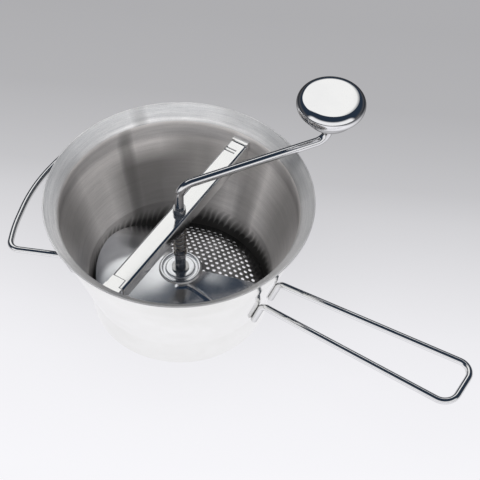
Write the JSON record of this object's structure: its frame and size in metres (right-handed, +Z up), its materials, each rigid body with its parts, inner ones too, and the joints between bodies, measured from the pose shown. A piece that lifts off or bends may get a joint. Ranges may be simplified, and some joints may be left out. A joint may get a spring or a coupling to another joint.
{
  "type": "food mill",
  "caption": "Hand-cranked stainless food mill with a conical bowl, domed sieve, sprung blade, crossbar and knobbed crank.",
  "frame": {"origin": "on the bowl's axis, at the plane of the bottom ring that it stands on", "axes": "+Z up along the crank shaft, +X along the long handle"},
  "size_m": [0.4362, 0.2721, 0.201],
  "materials": {
    "bar_steel": "polished sheet",
    "blade_steel": "polished sheet",
    "bowl_steel": "circumferentially brushed inside and on the lip, polished outside",
    "fastener_steel": "turned",
    "knob_steel": "mirror polished shell",
    "rod_steel": "polished rod",
    "sieve_steel": "pressed and punched, semi-bright",
    "spring_steel": "drawn wire",
    "wire_steel": "polished wire"
  },
  "bodies": {
    "bowl": {"bowl": "bowl_steel", "sieve_disc": "sieve_steel", "sieve_ferrule": "sieve_steel", "handle_loop": "wire_steel", "rest_hook": "wire_steel", "near_catch": "bar_steel", "far_catch": "bar_steel", "crossbar": "bar_steel", "near_tab": "bar_steel", "far_tab": "bar_steel", "bearing_bush": "fastener_steel", "thrust_washer": "fastener_steel", "pressure_spring": "spring_steel"},
    "spring_seat": {"spring_seat": "fastener_steel"},
    "crank": {"crank_rod": "rod_steel", "shaft_collar": "fastener_steel", "stem_collar": "fastener_steel", "knob_retainer": "fastener_steel", "blade": "blade_steel", "blade_hub": "blade_steel", "drive_pin": "fastener_steel"},
    "knob": {"knob_base": "knob_steel", "knob_cap": "knob_steel", "knob_bush": "fastener_steel"}
  },
  "joints": [
    {"name": "shaft_lift", "type": "slide", "parent": "bowl", "child": "spring_seat", "axis": [0, 0, 1], "range_m": [0, 0.006], "stiffness_N_per_m": 900, "springref_m": -0.012, "deforming": ["pressure_spring"]},
    {"name": "crank_turn", "type": "hinge", "parent": "spring_seat", "child": "crank", "pos_m": [0, 0, 0.1], "axis": [0, 0, 1], "continuous": true},
    {"name": "knob_spin", "type": "hinge", "parent": "crank", "child": "knob", "pos_m": [0.08031, 0.12133, 0.18], "axis": [0, 0, 1], "continuous": true}
  ]
}
